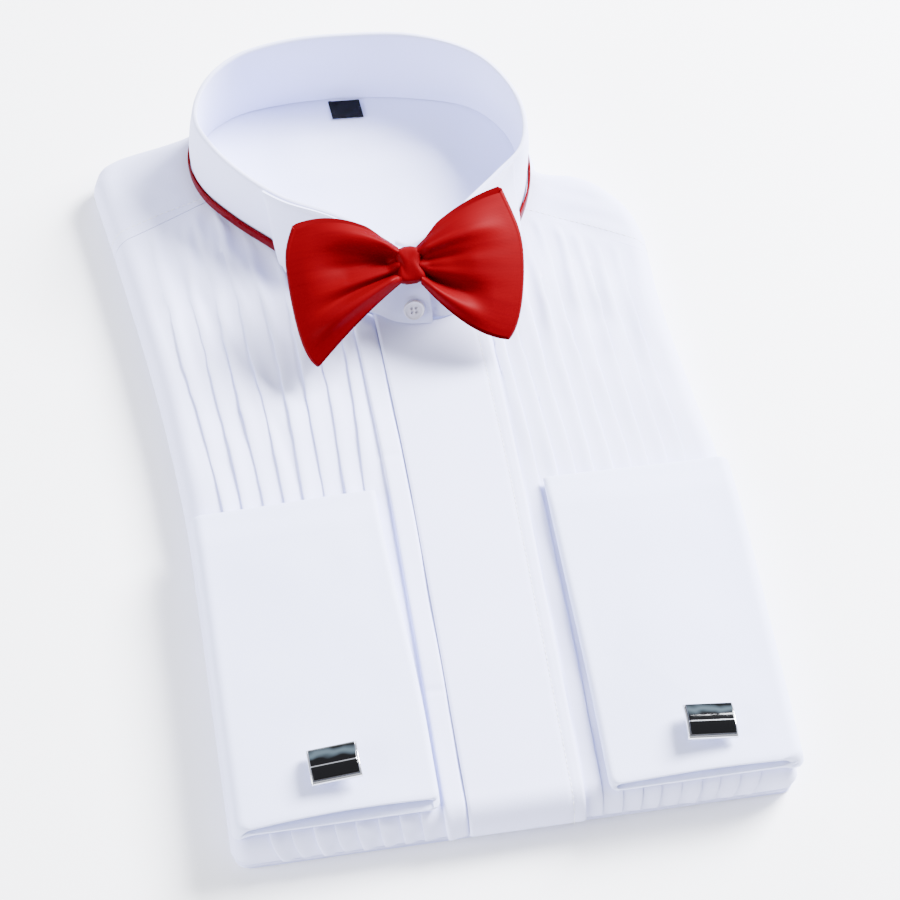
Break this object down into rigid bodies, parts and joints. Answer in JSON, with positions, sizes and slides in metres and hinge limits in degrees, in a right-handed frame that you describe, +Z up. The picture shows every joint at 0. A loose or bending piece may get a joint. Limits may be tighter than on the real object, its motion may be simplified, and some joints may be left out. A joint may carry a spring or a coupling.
{
  "type": "folded dress shirt with bow tie and cufflinks",
  "caption": "White pleated-front evening shirt, folded flat and lying face up, with a wing collar, a fly placket, double cuffs with dark links and a red bow tie.",
  "frame": {"origin": "middle of the bounding box in plan, on the flat underside of the folded body (z = 0)", "axes": "+X towards the viewer's right with the front up, +Y from the hem fold towards the collar, +Z up from the surface it lies on"},
  "size_m": [0.2516, 0.382, 0.0669],
  "materials": {
    "cotton": "plain woven, matte",
    "satin": "satin weave, glossy",
    "label": "woven tape, matte",
    "button": "polished",
    "enamel": "polished",
    "silver": "polished"
  },
  "bodies": {
    "root": {"folded_body": "cotton", "front_left": "cotton", "front_right": "cotton", "fly_placket": "cotton", "yoke": "cotton", "back_neck_inside": "cotton", "collar_stand": "cotton", "collar_wing_left": "cotton", "collar_wing_right": "cotton", "neck_label": "label", "collar_button": "button", "cuff_left": "cotton", "link_left_face": "enamel", "link_left_tray": "silver", "link_left_post": "silver", "cuff_right": "cotton", "link_right_face": "enamel", "link_right_tray": "silver", "link_right_post": "silver", "bow_wing_left": "satin", "bow_wing_right": "satin", "bow_knot": "satin", "bow_band": "satin"}
  },
  "joints": []
}
